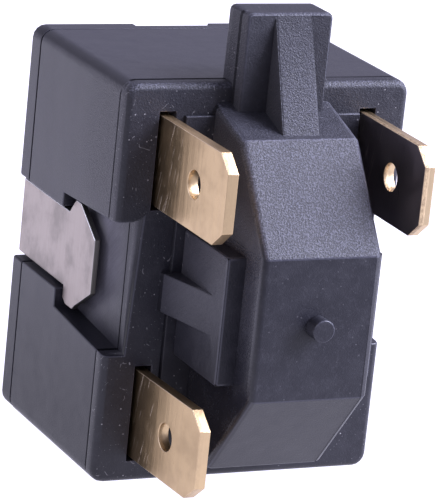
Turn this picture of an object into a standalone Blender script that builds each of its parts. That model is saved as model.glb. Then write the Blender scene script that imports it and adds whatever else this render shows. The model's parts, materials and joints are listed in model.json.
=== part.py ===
"""Start relay of a refrigerator compressor, with a PTC disc in a moulded housing.

The relay stands on its flat bottom. Its blade side faces -Y and its pin side faces +Y. The pieces
are modelled with the front face of the box in the plane y = 0, and one empty carries them all, so
that the origin ends up under the middle of the whole relay. All sizes are in metres.
"""

import math

import bmesh
import bpy
from mathutils import Matrix, Vector

# Clearances
FIT = 0.00030
JOINT_GAP = 0.00020

# Moulded box
BODY_WIDTH = 0.02134
BODY_HEIGHT = 0.02840
BODY_DEPTH = 0.01525
BODY_ROUND = 0.00095
FRONT_ROUND = 0.00050
SIDE_WALL = 0.00240
FRONT_WALL = 0.00180
TOP_WALL = 0.00155
BOTTOM_WALL = 0.00113
FEATURE_SHIFT = 0.00024

# Rear cover
COVER_THICK = 0.00162
COVER_INSET = 0.00003
COVER_ROUND = 0.00020
COVER_LIP = 0.00140
COVER_LIP_WALL = 0.00080
COVER_NOTCH_WIDTH = 0.00600
COVER_NOTCH_DEPTH = 0.00080
COVER_NOTCH_DROP = 0.00060
PIN_HOLE_RADIUS = 0.00190
PIN_FUNNEL = 0.00050
STRAP_CHANNEL = 0.00030

# Chamber block, a profile in the side view
BLOCK_WIDTH = 0.00893
BLOCK_REACH = 0.00968
BLOCK_DROP = 0.00137
BLOCK_WALL = 0.00125
BLOCK_ROUND = 0.00050
SHELF_REACH = 0.00460
SHELF_FALL = 0.00138
SLOPE_FALL = 0.00677
UNDERSIDE = 0.00230
UNDERSIDE_REACH = 0.00428
CHAMFER_RISE = 0.00660

# Step blocks beside the chamber, and their gussets
STEP_WIDTH = 0.01165
STEP_REACH = 0.00717
STEP_HEIGHT = 0.00904
STEP_DROP = 0.00010
STEP_EDGE = 0.00012
GUSSET_FOOT = 0.00138
GUSSET_REACH = 0.00574
GUSSET_HEIGHT = 0.00277

# Raised pad, post and stub
PAD_WIDTH = 0.01320
PAD_THICK = 0.00032
PAD_DROP = 0.00220
PAD_BOTTOM = 0.00190
POST_WIDTH = 0.00642
POST_RISE = 0.00512
POST_FRONT = 0.00126
POST_THICK = 0.00303
POST_ROUND = 0.00040
POST_EDGE = 0.00012
RIB_WIDTH = 0.00284
RIB_SHIFT = 0.00047
RIB_REACH = 0.00420
RIB_DROP = 0.00018
RIB_EDGE = 0.00010
STUB_RADIUS = 0.00079
STUB_REACH = 0.00115
STUB_RAISE = 0.00025

# Clip recess in each side, a wide window in front and a strap slot behind it
RECESS_DEPTH = 0.00160
WINDOW_BACK = 0.00905
WINDOW_TOP = 0.01825
WINDOW_BOTTOM = 0.00995
WINDOW_FLARE_TOP = 0.00049
WINDOW_FLARE_BOTTOM = 0.00070
STRAP_SLOT_TOP = 0.01728
STRAP_SLOT_BOTTOM = 0.01130

# Retaining clip
CLIP_THICK = 0.00045
CLIP_SINK = 0.00045
CLIP_BEND = 0.00060
BARB_LENGTH = 0.00462
BARB_CREST_FROM_BACK = 0.00095
BARB_CREST_FLAT = 0.00080
BARB_CORNER = 0.00036
BARB_TOP_GAP = 0.00018
BARB_BOTTOM_GAP = 0.00042
BARB_NOSE_FALL = 0.00180
BARB_NOSE_RISE = 0.00200

# Blades, quick-connect size 6.3 x 0.8
BLADE_WIDTH = 0.00630
BLADE_THICK = 0.00080
BLADE_CHAMFER_LENGTH = 0.00137
BLADE_CHAMFER_WIDTH = 0.00113
BLADE_HOLE_RADIUS = 0.00098
BLADE_HOLE_FROM_TIP = 0.00472
RUN_REACH = 0.01030
START_REACH = 0.00976
SUPPLY_REACH = 0.00944
RUN_LEAN = math.radians(0.9)
START_LEAN = math.radians(-0.9)
SUPPLY_LEAN = math.radians(3.0)
SHOULDER = 0.00040
SLOT_SIDE_GAP = 0.00020

# Pin sockets inside
SOCKET_BORE = 0.00170
SOCKET_WALL = 0.00050
SOCKET_LENGTH = 0.00560
SOCKET_SLIT = 0.00050
GRIP_WALL = 0.00050
GRIP_LENGTH = 0.00320
GRIP_HALF_ANGLE = math.radians(108)

# Disc and its springs
DISC_RADIUS = 0.00850
DISC_THICK = 0.00300
DISC_CHAMFER = 0.00025
DISC_FRONT_GAP = 0.00153
SPRING_THICK = 0.00035
SPRING_FOOT_HEIGHT = 0.00900
SPRING_FOOT_LENGTH = 0.00450
SPRING_LEAF_HEIGHT = 0.00440
SPRING_CREST_BEHIND = 0.00140
SPRING_CREST_HALF = 0.00090
SPRING_CREST_BOW = 0.00021
SPRING_CURL_LENGTH = 0.00350
SPRING_CURL_LIFT = 0.00110

# Rivets
RIVET_RADIUS = 0.00060
RIVET_HEAD_RADIUS = 0.00120
RIVET_HEAD = 0.00060
RIVET_FROM_END = 0.00225
RIVET_SPREAD = 0.00440
LEG_EDGE = 0.00170

# Facets
ROUND_STEPS = 4
PIN_FACETS = 32
HOLE_FACETS = 24
RIVET_FACETS = 16
DISC_FACETS = 48

# Heights and depths that follow
HALF_WIDTH = BODY_WIDTH / 2
CAVITY_X = HALF_WIDTH - SIDE_WALL
CAVITY_TOP = BODY_HEIGHT - TOP_WALL
RECESS_X = HALF_WIDTH - RECESS_DEPTH
BLOCK_TOP = BODY_HEIGHT - BLOCK_DROP
SHELF_TOP = BLOCK_TOP - SHELF_FALL
SLOPE_BOTTOM = SHELF_TOP - SLOPE_FALL
FACE_BOTTOM = UNDERSIDE + CHAMFER_RISE
DISC_Z = (SLOPE_BOTTOM + FACE_BOTTOM) / 2
DISC_Y = DISC_FRONT_GAP + DISC_RADIUS + BLOCK_WALL - BLOCK_REACH
STEP_Z = DISC_Z - STEP_DROP
POST_TOP = BODY_HEIGHT + POST_RISE
RIB_TOP = POST_TOP - RIB_DROP
COVER_FRONT = BODY_DEPTH + JOINT_GAP
COVER_BACK = COVER_FRONT + COVER_THICK
TERMINAL_END = COVER_FRONT - COVER_LIP - FIT
BLADE_OUT = CAVITY_X - FIT
BLADE_IN = BLADE_OUT - BLADE_THICK
BLADE_X = BLADE_OUT - BLADE_THICK / 2
PLATE_HALF = BLADE_WIDTH / 2 + SHOULDER
UPPER_ROW_Z = CAVITY_TOP - FIT - PLATE_HALF
LOWER_ROW_Z = BOTTOM_WALL + FIT + PLATE_HALF
SOCKET_OUTER = SOCKET_BORE + SOCKET_WALL
SOCKET_X = BLADE_OUT - SOCKET_OUTER
FOOT_OUT = BLADE_IN - FIT
FOOT_IN = FOOT_OUT - SPRING_THICK
RIVET_Y = TERMINAL_END - RIVET_FROM_END
UPPER_RIVET_Z = STEP_Z + RIVET_SPREAD / 2
LOWER_RIVET_Z = STEP_Z - RIVET_SPREAD / 2
CLIP_OUT = HALF_WIDTH - CLIP_SINK
CLIP_BACK = COVER_BACK - STRAP_CHANNEL + FIT + CLIP_THICK
FRONT_END = max(BLOCK_REACH + STUB_REACH, RUN_REACH, START_REACH, SUPPLY_REACH)
MIDDLE_Y = (CLIP_BACK - FRONT_END) / 2
EVERYWHERE = 2 * BODY_WIDTH

CARRIER = "relay"
MATERIALS = {}


def finish(name, colour, roughness, metallic=0.0):
    """Keep one plain material, with its colour, roughness and metallic value."""
    material = bpy.data.materials.new(name)
    material.use_nodes = True
    shader = material.node_tree.nodes["Principled BSDF"]
    shader.inputs["Base Color"].default_value = (*colour, 1.0)
    shader.inputs["Roughness"].default_value = roughness
    shader.inputs["Metallic"].default_value = metallic
    MATERIALS[name] = material
    return material


def place(name, mesh, material=None):
    """Link a mesh as an object. Without a material it is a hidden cutter or guide."""
    item = bpy.data.objects.new(name, mesh)
    bpy.context.scene.collection.objects.link(item)
    item.parent = bpy.data.objects[CARRIER]
    if material is None:
        item.hide_render = True
        item.display_type = "WIRE"
    else:
        mesh.materials.append(MATERIALS[material])
    return item


def to_mesh(name, form):
    """Turn a bmesh into a mesh with outward normals and smooth round faces."""
    bmesh.ops.recalc_face_normals(form, faces=form.faces)
    mesh = bpy.data.meshes.new(name)
    form.to_mesh(mesh)
    form.free()
    mesh.shade_smooth()
    mesh.set_sharp_from_angle(angle=math.radians(35))
    return mesh


AXES = {
    "X": Matrix(((0, 0, 1, 0), (1, 0, 0, 0), (0, 1, 0, 0), (0, 0, 0, 1))),
    "Y": Matrix(((1, 0, 0, 0), (0, 0, 1, 0), (0, 1, 0, 0), (0, 0, 0, 1))),
    "Z": Matrix.Identity(4),
}


def prism(outline, axis, start, end):
    """Extrude an outline along an axis. X takes (y, z) points, Y takes (x, z), Z takes (x, y)."""
    form = bmesh.new()
    corners = [form.verts.new((a, b, start)) for a, b in outline]
    base = form.faces.new(corners)
    top = bmesh.ops.extrude_face_region(form, geom=[base])["geom"]
    moved = [item for item in top if isinstance(item, bmesh.types.BMVert)]
    bmesh.ops.translate(form, verts=moved, vec=(0, 0, end - start))
    bmesh.ops.transform(form, matrix=AXES[axis], verts=form.verts)
    bmesh.ops.recalc_face_normals(form, faces=form.faces)
    return form


def loft(sections):
    """Join outlines with equal numbers of (y, z) points, each at its own x, into a closed solid."""
    form = bmesh.new()
    rings = [[form.verts.new((x, y, z)) for y, z in outline] for x, outline in sections]
    form.faces.new(rings[0])
    form.faces.new(rings[-1])
    for ring, after in zip(rings, rings[1:]):
        for i in range(len(ring)):
            form.faces.new((ring[i - 1], ring[i], after[i], after[i - 1]))
    bmesh.ops.recalc_face_normals(form, faces=form.faces)
    return form


def block(low, high):
    """A plain box between two corners."""
    outline = [(low[0], low[1]), (high[0], low[1]), (high[0], high[1]), (low[0], high[1])]
    return prism(outline, "Z", low[2], high[2])


def soften(form, radius, steps, keep):
    """Round the edges whose middle point and direction pass the keep test."""
    form.edges.ensure_lookup_table()
    chosen = []
    for edge in form.edges:
        if edge.calc_face_angle(0.0) < math.radians(12):
            continue
        middle = (edge.verts[0].co + edge.verts[1].co) / 2
        along = (edge.verts[1].co - edge.verts[0].co).normalized()
        if keep(middle, along):
            chosen.append(edge)
    bmesh.ops.bevel(form, geom=chosen, offset=radius, segments=steps, profile=0.5, affect="EDGES")
    return form


def circle(centre, radius, count, start=0.0):
    """Points round a circle."""
    turn = 2 * math.pi / count
    return [
        (centre[0] + radius * math.cos(start + i * turn), centre[1] + radius * math.sin(start + i * turn))
        for i in range(count)
    ]


def arc(centre, radius, first, last, count):
    """Points along an arc, with both its ends."""
    turn = (last - first) / count
    return [
        (centre[0] + radius * math.cos(first + i * turn), centre[1] + radius * math.sin(first + i * turn))
        for i in range(count + 1)
    ]


def combine(target, form, name, operation):
    """Join a form to the target, or cut it from the target, with an exact Boolean."""
    guide = place(name, to_mesh(name, form))
    change = target.modifiers.new(name, "BOOLEAN")
    change.operation = operation
    change.solver = "EXACT"
    change.object = guide


def turned(points, centre, axis, count):
    """Turn a profile that starts and ends on the axis into a solid of revolution."""
    form = bmesh.new()
    corners = [form.verts.new(point) for point in points]
    edges = [form.edges.new(pair) for pair in zip(corners, corners[1:])]
    moved = corners + edges
    bmesh.ops.spin(form, geom=moved, cent=centre, axis=axis, angle=math.tau, steps=count, use_merge=True)
    bmesh.ops.remove_doubles(form, verts=form.verts, dist=FIT / 300)
    return form


def strip(centreline, thickness):
    """Outline of a bent sheet strip, offset to one side of its outer line."""
    inner = []
    for i, point in enumerate(centreline):
        before = Vector(centreline[max(i - 1, 0)])
        after = Vector(centreline[min(i + 1, len(centreline) - 1)])
        here = Vector(point)
        first = (here - before).normalized() if i else (after - here).normalized()
        second = (after - here).normalized() if i < len(centreline) - 1 else first
        middle = (first + second).normalized()
        normal = Vector((-middle.y, middle.x))
        reach = thickness / max(middle.dot(first), 0.3)
        inner.append(tuple(here + normal * reach))
    return list(centreline) + inner[::-1]


def block_profile(inset=0.0):
    """Side outline of the chamber block, shrunk evenly by the inset."""
    points = [
        Vector((0.0, BLOCK_TOP)),
        Vector((-SHELF_REACH, SHELF_TOP)),
        Vector((-BLOCK_REACH, SLOPE_BOTTOM)),
        Vector((-BLOCK_REACH, FACE_BOTTOM)),
        Vector((-UNDERSIDE_REACH, UNDERSIDE)),
        Vector((0.0, UNDERSIDE)),
    ]
    shrunk = []
    for i, point in enumerate(points):
        before = (point - points[i - 1]).normalized() if i else Vector((-1.0, 0.0))
        after = (points[i + 1] - point).normalized() if i < len(points) - 1 else Vector((1.0, 0.0))
        middle = (before + after).normalized()
        normal = Vector((-middle.y, middle.x))
        shrunk.append(point + normal * (inset / max(middle.dot(after), 0.3)))
    return shrunk


def build_shell():
    """The box itself, rounded along its depth and more tightly round its front face."""
    form = block((-HALF_WIDTH, 0.0, 0.0), (HALF_WIDTH, BODY_DEPTH, BODY_HEIGHT))
    soften(form, BODY_ROUND, ROUND_STEPS, lambda middle, along: abs(along.y) > 0.9)
    return soften(form, FRONT_ROUND, ROUND_STEPS - 1, lambda middle, along: middle.y < FIT)


def block_section(inset):
    """One cross-section of the chamber block, which reaches into the front wall."""
    points = [tuple(point) for point in block_profile(inset)[1:-1]]
    inside = FRONT_WALL / 2
    top = points[0][1] + (inside - points[0][0]) * SHELF_FALL / SHELF_REACH
    return [(inside, top)] + points + [(inside, points[-1][1])]


def build_block():
    """Chamber block with its shelf, slope, face and lower chamfer, rounded along both sides."""
    sections = []
    for side in (-1, 1):
        for step in range(ROUND_STEPS):
            turn = math.pi / 2 * step / (ROUND_STEPS - 1)
            x = BLOCK_WIDTH / 2 - BLOCK_ROUND * (1 - math.cos(turn))
            inset = BLOCK_ROUND * (1 - math.sin(turn))
            sections.append((FEATURE_SHIFT + side * x, block_section(inset)))
    return loft(sorted(sections))


def build_steps():
    """The lower block that widens the chamber on both sides."""
    half = STEP_WIDTH / 2
    low = (FEATURE_SHIFT - half, -STEP_REACH, STEP_Z - STEP_HEIGHT / 2)
    high = (FEATURE_SHIFT + half, FRONT_WALL / 2, STEP_Z + STEP_HEIGHT / 2)
    return soften(block(low, high), STEP_EDGE, 1, lambda middle, along: middle.y < -PAD_THICK)


def build_gussets():
    """One triangular gusset on the outer side of each step block."""
    half = STEP_WIDTH / 2
    outline = [
        (FEATURE_SHIFT - half - GUSSET_FOOT, FRONT_WALL / 2),
        (FEATURE_SHIFT - half - GUSSET_FOOT, 0.0),
        (FEATURE_SHIFT - half, -GUSSET_REACH),
        (FEATURE_SHIFT + half, -GUSSET_REACH),
        (FEATURE_SHIFT + half + GUSSET_FOOT, 0.0),
        (FEATURE_SHIFT + half + GUSSET_FOOT, FRONT_WALL / 2),
    ]
    return prism(outline, "Z", STEP_Z - GUSSET_HEIGHT / 2, STEP_Z + GUSSET_HEIGHT / 2)


def build_pad():
    """Thin raised pad behind the chamber block."""
    half = PAD_WIDTH / 2
    low = (FEATURE_SHIFT - half, -PAD_THICK, PAD_BOTTOM)
    high = (FEATURE_SHIFT + half, FRONT_WALL / 2, BODY_HEIGHT - PAD_DROP)
    return block(low, high)


def build_post():
    """Flat post that rises from the shelf above the box."""
    half = POST_WIDTH / 2
    low = (FEATURE_SHIFT - half, -POST_FRONT, SHELF_TOP)
    high = (FEATURE_SHIFT + half, POST_THICK - POST_FRONT, POST_TOP)
    form = block(low, high)
    shoulders = POST_TOP - FIT
    soften(form, POST_ROUND, ROUND_STEPS - 1, lambda middle, along: middle.z > shoulders and abs(along.y) > 0.9)
    return soften(form, POST_EDGE, 1, lambda middle, along: middle.z > SHELF_TOP + FIT and abs(along.y) < 0.5)


def build_rib():
    """Tapered rib up the front of the post. Its slope runs on into the block."""
    foot = SHELF_TOP - BLOCK_WALL / 2
    slope = (RIB_REACH - POST_FRONT) / (RIB_TOP - SHELF_TOP)
    inside = POST_THICK / 2 - POST_FRONT
    outline = [
        (inside, foot),
        (-RIB_REACH - (SHELF_TOP - foot) * slope, foot),
        (-POST_FRONT, RIB_TOP),
        (inside, RIB_TOP),
    ]
    half = RIB_WIDTH / 2
    form = prism(outline, "X", RIB_SHIFT - half, RIB_SHIFT + half)
    return soften(form, RIB_EDGE, 1, lambda middle, along: middle.y < -POST_FRONT - FIT and abs(along.x) < 0.5)


def build_stub():
    """Round stub on the face of the block."""
    outline = circle((FEATURE_SHIFT, DISC_Z + STUB_RAISE), STUB_RADIUS, HOLE_FACETS)
    return prism(outline, "Y", -BLOCK_REACH - STUB_REACH, -BLOCK_REACH + BLOCK_WALL / 2)


def recess_outline(back):
    """T-shaped side outline of the clip recess, from in front of the box to the given depth."""
    ahead = -BODY_ROUND
    share = (WINDOW_BACK - ahead) / WINDOW_BACK
    return [
        (ahead, WINDOW_BOTTOM - WINDOW_FLARE_BOTTOM * share),
        (WINDOW_BACK, WINDOW_BOTTOM),
        (WINDOW_BACK, STRAP_SLOT_BOTTOM),
        (back, STRAP_SLOT_BOTTOM),
        (back, STRAP_SLOT_TOP),
        (WINDOW_BACK, STRAP_SLOT_TOP),
        (WINDOW_BACK, WINDOW_TOP),
        (ahead, WINDOW_TOP + WINDOW_FLARE_TOP * share),
    ]


def build_recess(side, back):
    """Cutter of the clip recess in one side."""
    near = side * RECESS_X
    far = side * (HALF_WIDTH + RECESS_DEPTH)
    return prism(recess_outline(back), "X", min(near, far), max(near, far))


def build_cavity():
    """Room for the terminals, open at the back."""
    return block((-CAVITY_X, FRONT_WALL, BOTTOM_WALL), (CAVITY_X, BODY_DEPTH + SIDE_WALL, CAVITY_TOP))


def build_disc_room():
    """Hollow of the chamber block, which takes the front of the disc."""
    half = BLOCK_WIDTH / 2 - BLOCK_WALL
    points = [tuple(point) for point in block_profile(BLOCK_WALL)]
    behind = FRONT_WALL + FIT
    ceiling = DISC_Z + DISC_RADIUS + BLOCK_WALL
    outline = [(behind, ceiling), (-SHELF_REACH, ceiling)] + points[2:5] + [(behind, points[4][1])]
    return prism(outline, "X", FEATURE_SHIFT - half, FEATURE_SHIFT + half)


def build_spring_room():
    """Hollow of the step blocks, which takes the bowed ends of the springs."""
    half = STEP_WIDTH / 2 - BLOCK_WALL
    inside = STEP_HEIGHT / 2 - BLOCK_WALL
    low = (FEATURE_SHIFT - half, -STEP_REACH + BLOCK_WALL, STEP_Z - inside)
    high = (FEATURE_SHIFT + half, FRONT_WALL + FIT, STEP_Z + inside)
    return block(low, high)


def build_slot(x, z):
    """Slot through the front wall for one blade."""
    half_x = BLADE_THICK / 2 + SLOT_SIDE_GAP
    half_z = BLADE_WIDTH / 2 + FIT
    return block((x - half_x, -FRONT_WALL, z - half_z), (x + half_x, FRONT_WALL + FIT, z + half_z))


def make_housing():
    """The moulded housing with everything that is cast in one with it."""
    housing = place("housing", to_mesh("housing", build_shell()), "black_moulding")
    combine(housing, build_pad(), "pad", "UNION")
    combine(housing, build_steps(), "step_blocks", "UNION")
    combine(housing, build_gussets(), "gussets", "UNION")
    combine(housing, build_block(), "chamber_block", "UNION")
    combine(housing, build_post(), "post", "UNION")
    combine(housing, build_rib(), "post_rib", "UNION")
    combine(housing, build_stub(), "stub", "UNION")
    combine(housing, build_cavity(), "terminal_room", "DIFFERENCE")
    combine(housing, build_disc_room(), "disc_room", "DIFFERENCE")
    combine(housing, build_spring_room(), "spring_room", "DIFFERENCE")
    for side, label in ((-1, "left"), (1, "right")):
        combine(housing, build_recess(side, BODY_DEPTH + SIDE_WALL), f"recess_{label}", "DIFFERENCE")
    slots = {
        "slot_run": (-BLADE_X, UPPER_ROW_Z),
        "slot_start": (BLADE_X, UPPER_ROW_Z),
        "slot_supply": (-BLADE_X, LOWER_ROW_Z),
    }
    for name, (x, z) in slots.items():
        combine(housing, build_slot(x, z), name, "DIFFERENCE")
    return housing


def build_pin_hole(centre):
    """Funnelled hole for one compressor pin, turned about the pin's axis."""
    beyond = COVER_BACK + PIN_FUNNEL
    profile = [
        (0.0, COVER_FRONT - 2 * COVER_LIP),
        (PIN_HOLE_RADIUS, COVER_FRONT - 2 * COVER_LIP),
        (PIN_HOLE_RADIUS, COVER_BACK - PIN_FUNNEL),
        (PIN_HOLE_RADIUS + PIN_FUNNEL, COVER_BACK),
        (PIN_HOLE_RADIUS + PIN_FUNNEL, beyond),
        (0.0, beyond),
    ]
    points = [(centre[0] + radius, y, centre[1]) for radius, y in profile]
    return turned(points, (centre[0], 0.0, centre[1]), (0.0, 1.0, 0.0), HOLE_FACETS)


def make_cover():
    """Rear cover with its locating lip, pin holes, strap channel and top notch."""
    half = HALF_WIDTH - COVER_INSET
    top = BODY_HEIGHT - COVER_INSET
    form = block((-half, COVER_FRONT, COVER_INSET), (half, COVER_BACK, top))
    corner = BODY_ROUND - COVER_INSET
    soften(form, corner, ROUND_STEPS, lambda middle, along: abs(along.y) > 0.9)
    rim = COVER_BACK - FIT
    soften(form, COVER_ROUND, ROUND_STEPS - 1, lambda middle, along: middle.y > rim and abs(along.y) < 0.5)
    cover = place("rear_cover", to_mesh("rear_cover", form), "black_moulding")
    lip_x = CAVITY_X - FIT
    lip_front = COVER_FRONT - COVER_LIP
    seat = COVER_FRONT + COVER_THICK / 2
    lip = block((-lip_x, lip_front, BOTTOM_WALL + FIT), (lip_x, seat, CAVITY_TOP - FIT))
    combine(cover, lip, "lip", "UNION")
    inner_x = lip_x - COVER_LIP_WALL
    low = (-inner_x, lip_front - COVER_LIP, BOTTOM_WALL + FIT + COVER_LIP_WALL)
    high = (inner_x, COVER_FRONT, CAVITY_TOP - FIT - COVER_LIP_WALL)
    combine(cover, block(low, high), "lip_room", "DIFFERENCE")
    for side, label in ((-1, "run"), (1, "start")):
        centre = (side * SOCKET_X, UPPER_ROW_Z)
        combine(cover, build_pin_hole(centre), f"pin_hole_{label}", "DIFFERENCE")
        outline = [
            (COVER_FRONT - COVER_LIP, STRAP_SLOT_BOTTOM),
            (COVER_BACK + COVER_LIP, STRAP_SLOT_BOTTOM),
            (COVER_BACK + COVER_LIP, STRAP_SLOT_TOP),
            (COVER_FRONT - COVER_LIP, STRAP_SLOT_TOP),
        ]
        near = side * RECESS_X
        far = side * (HALF_WIDTH + RECESS_DEPTH)
        cut = prism(outline, "X", min(near, far), max(near, far))
        combine(cover, cut, f"strap_pass_{label}", "DIFFERENCE")
    channel = block(
        (-EVERYWHERE, COVER_BACK - STRAP_CHANNEL, STRAP_SLOT_BOTTOM),
        (EVERYWHERE, COVER_BACK + COVER_LIP, STRAP_SLOT_TOP),
    )
    combine(cover, channel, "strap_channel", "DIFFERENCE")
    notch = block(
        (-COVER_NOTCH_WIDTH / 2, COVER_BACK - COVER_NOTCH_DEPTH, BODY_HEIGHT - COVER_NOTCH_DROP),
        (COVER_NOTCH_WIDTH / 2, COVER_BACK + COVER_LIP, BODY_HEIGHT + COVER_LIP),
    )
    combine(cover, notch, "top_notch", "DIFFERENCE")
    return cover


def make_clip():
    """Steel strap round the back, with a barbed head in each side recess."""
    shoulder = WINDOW_BACK - FIT
    nose = shoulder - BARB_LENGTH
    crest_top = WINDOW_TOP - BARB_TOP_GAP
    crest_bottom = WINDOW_BOTTOM + BARB_BOTTOM_GAP
    centres = [(side * (CLIP_OUT - CLIP_BEND), CLIP_BACK - CLIP_BEND) for side in (-1, 1)]
    walls = []
    for x, radius in ((CLIP_OUT, CLIP_BEND), (CLIP_OUT - CLIP_THICK, CLIP_BEND - CLIP_THICK)):
        line = [(-x, nose)]
        line += arc(centres[0], radius, math.pi, math.pi / 2, ROUND_STEPS + 2)
        line += arc(centres[1], radius, math.pi / 2, 0.0, ROUND_STEPS + 2)
        walls.append(line + [(x, nose)])
    form = prism(walls[0] + walls[1][::-1], "Z", crest_bottom, crest_top)
    clip = place("retaining_clip", to_mesh("retaining_clip", form), "bright_steel")
    beyond = CLIP_BACK + CLIP_BEND
    crest_back = shoulder - BARB_CREST_FROM_BACK
    crest_front = crest_back - BARB_CREST_FLAT
    outline = [
        (nose, crest_bottom + BARB_NOSE_RISE),
        (crest_front - BARB_CORNER, crest_bottom + BARB_CORNER),
        (crest_front, crest_bottom),
        (crest_back + BARB_CORNER, crest_bottom),
        (shoulder, crest_bottom + BARB_CORNER),
        (shoulder, STRAP_SLOT_BOTTOM + FIT),
        (beyond, STRAP_SLOT_BOTTOM + FIT),
        (beyond, STRAP_SLOT_TOP - FIT),
        (shoulder, STRAP_SLOT_TOP - FIT),
        (crest_back + BARB_CORNER, crest_top - BARB_CORNER),
        (crest_back, crest_top),
        (crest_front, crest_top),
        (nose, crest_top - BARB_NOSE_FALL),
    ]
    combine(clip, prism(outline, "X", -EVERYWHERE, EVERYWHERE), "barb_outline", "INTERSECT")
    return clip


def blade_outline(z, reach):
    """Side outline of one blade in front of the wall, from its lower root to its upper root."""
    half = BLADE_WIDTH / 2
    return [
        (FRONT_WALL + FIT, z - half),
        (-(reach - BLADE_CHAMFER_LENGTH), z - half),
        (-reach, z - half + BLADE_CHAMFER_WIDTH),
        (-reach, z + half - BLADE_CHAMFER_WIDTH),
        (-(reach - BLADE_CHAMFER_LENGTH), z + half),
        (FRONT_WALL + FIT, z + half),
    ]


def make_terminal(name, side, z, reach, lean, leg, socket):
    """One stamped terminal: blade, shouldered plate with its leg and, for a pin, a rolled socket."""
    half = PLATE_HALF
    shoulder = FRONT_WALL + FIT
    leg_end, leg_sign = leg
    leg_start = RIVET_Y - RIVET_HEAD_RADIUS - LEG_EDGE
    if leg_sign < 0:
        plate = [
            (shoulder, z + half),
            (TERMINAL_END, z + half),
            (TERMINAL_END, leg_end),
            (leg_start, leg_end),
            (leg_start, z - half),
            (shoulder, z - half),
        ]
    else:
        plate = [
            (shoulder, z + half),
            (leg_start, z + half),
            (leg_start, leg_end),
            (TERMINAL_END, leg_end),
            (TERMINAL_END, z - half),
            (shoulder, z - half),
        ]
    outline = blade_outline(z, reach) + plate
    near, far = sorted((side * BLADE_IN, side * BLADE_OUT))
    form = prism(outline, "X", near, far)
    whole = form.verts[:] + form.edges[:] + form.faces[:]
    bmesh.ops.bisect_plane(form, geom=whole, plane_co=(0.0, 0.0, 0.0), plane_no=(0.0, 1.0, 0.0))
    for vertex in form.verts:
        if vertex.co.y < 0.0:
            vertex.co.x -= vertex.co.y * math.tan(lean)
    terminal = place(name, to_mesh(name, form), "brass")
    hole_y = -(reach - BLADE_HOLE_FROM_TIP)
    hole = prism(circle((hole_y, z), BLADE_HOLE_RADIUS, HOLE_FACETS), "X", -EVERYWHERE, EVERYWHERE)
    combine(terminal, hole, f"{name}_hole", "DIFFERENCE")
    rivet_z = UPPER_RIVET_Z if leg_sign < 0 else LOWER_RIVET_Z
    rivet_rim = circle((RIVET_Y, rivet_z), RIVET_RADIUS + FIT, RIVET_FACETS)
    rivet_hole = prism(rivet_rim, "X", -EVERYWHERE, EVERYWHERE)
    combine(terminal, rivet_hole, f"{name}_rivet_hole", "DIFFERENCE")
    if socket:
        centre = (side * SOCKET_X, z)
        first = math.pi / PIN_FACETS
        front = TERMINAL_END - SOCKET_LENGTH
        ring = prism(circle(centre, SOCKET_OUTER, PIN_FACETS, first), "Y", front, TERMINAL_END)
        combine(terminal, ring, f"{name}_barrel", "UNION")
        bore = prism(circle(centre, SOCKET_BORE, PIN_FACETS, first), "Y", front - FIT, TERMINAL_END + FIT)
        combine(terminal, bore, f"{name}_bore", "DIFFERENCE")
        slit = block(
            (centre[0] - SOCKET_SLIT / 2, front - FIT, centre[1] - 2 * SOCKET_OUTER),
            (centre[0] + SOCKET_SLIT / 2, TERMINAL_END + FIT, centre[1]),
        )
        combine(terminal, slit, f"{name}_slit", "DIFFERENCE")
    return terminal


def make_grip(name, side):
    """Spring ring that keeps a rolled socket tight on its pin."""
    centre = (side * SOCKET_X, UPPER_ROW_Z)
    inner_radius = SOCKET_OUTER + FIT
    middle = 0.0 if side < 0 else math.pi
    first = middle - GRIP_HALF_ANGLE
    last = middle + GRIP_HALF_ANGLE
    outer = arc(centre, inner_radius + GRIP_WALL, first, last, HOLE_FACETS)
    inner = arc(centre, inner_radius, first, last, HOLE_FACETS)
    start = TERMINAL_END - SOCKET_LENGTH / 2 - GRIP_LENGTH / 2
    form = prism(outer + inner[::-1], "Y", start, start + GRIP_LENGTH)
    return place(name, to_mesh(name, form), "bright_steel")


def make_disc():
    """PTC pill, with a small chamfer round both faces."""
    rim = circle((DISC_Y, DISC_Z), DISC_RADIUS, DISC_FACETS)
    form = prism(rim, "X", FEATURE_SHIFT - DISC_THICK / 2, FEATURE_SHIFT + DISC_THICK / 2)
    soften(form, DISC_CHAMFER, 1, lambda middle, along: abs(along.x) < 0.5)
    return place("ptc_disc", to_mesh("ptc_disc", form), "silvered_ceramic")


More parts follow.
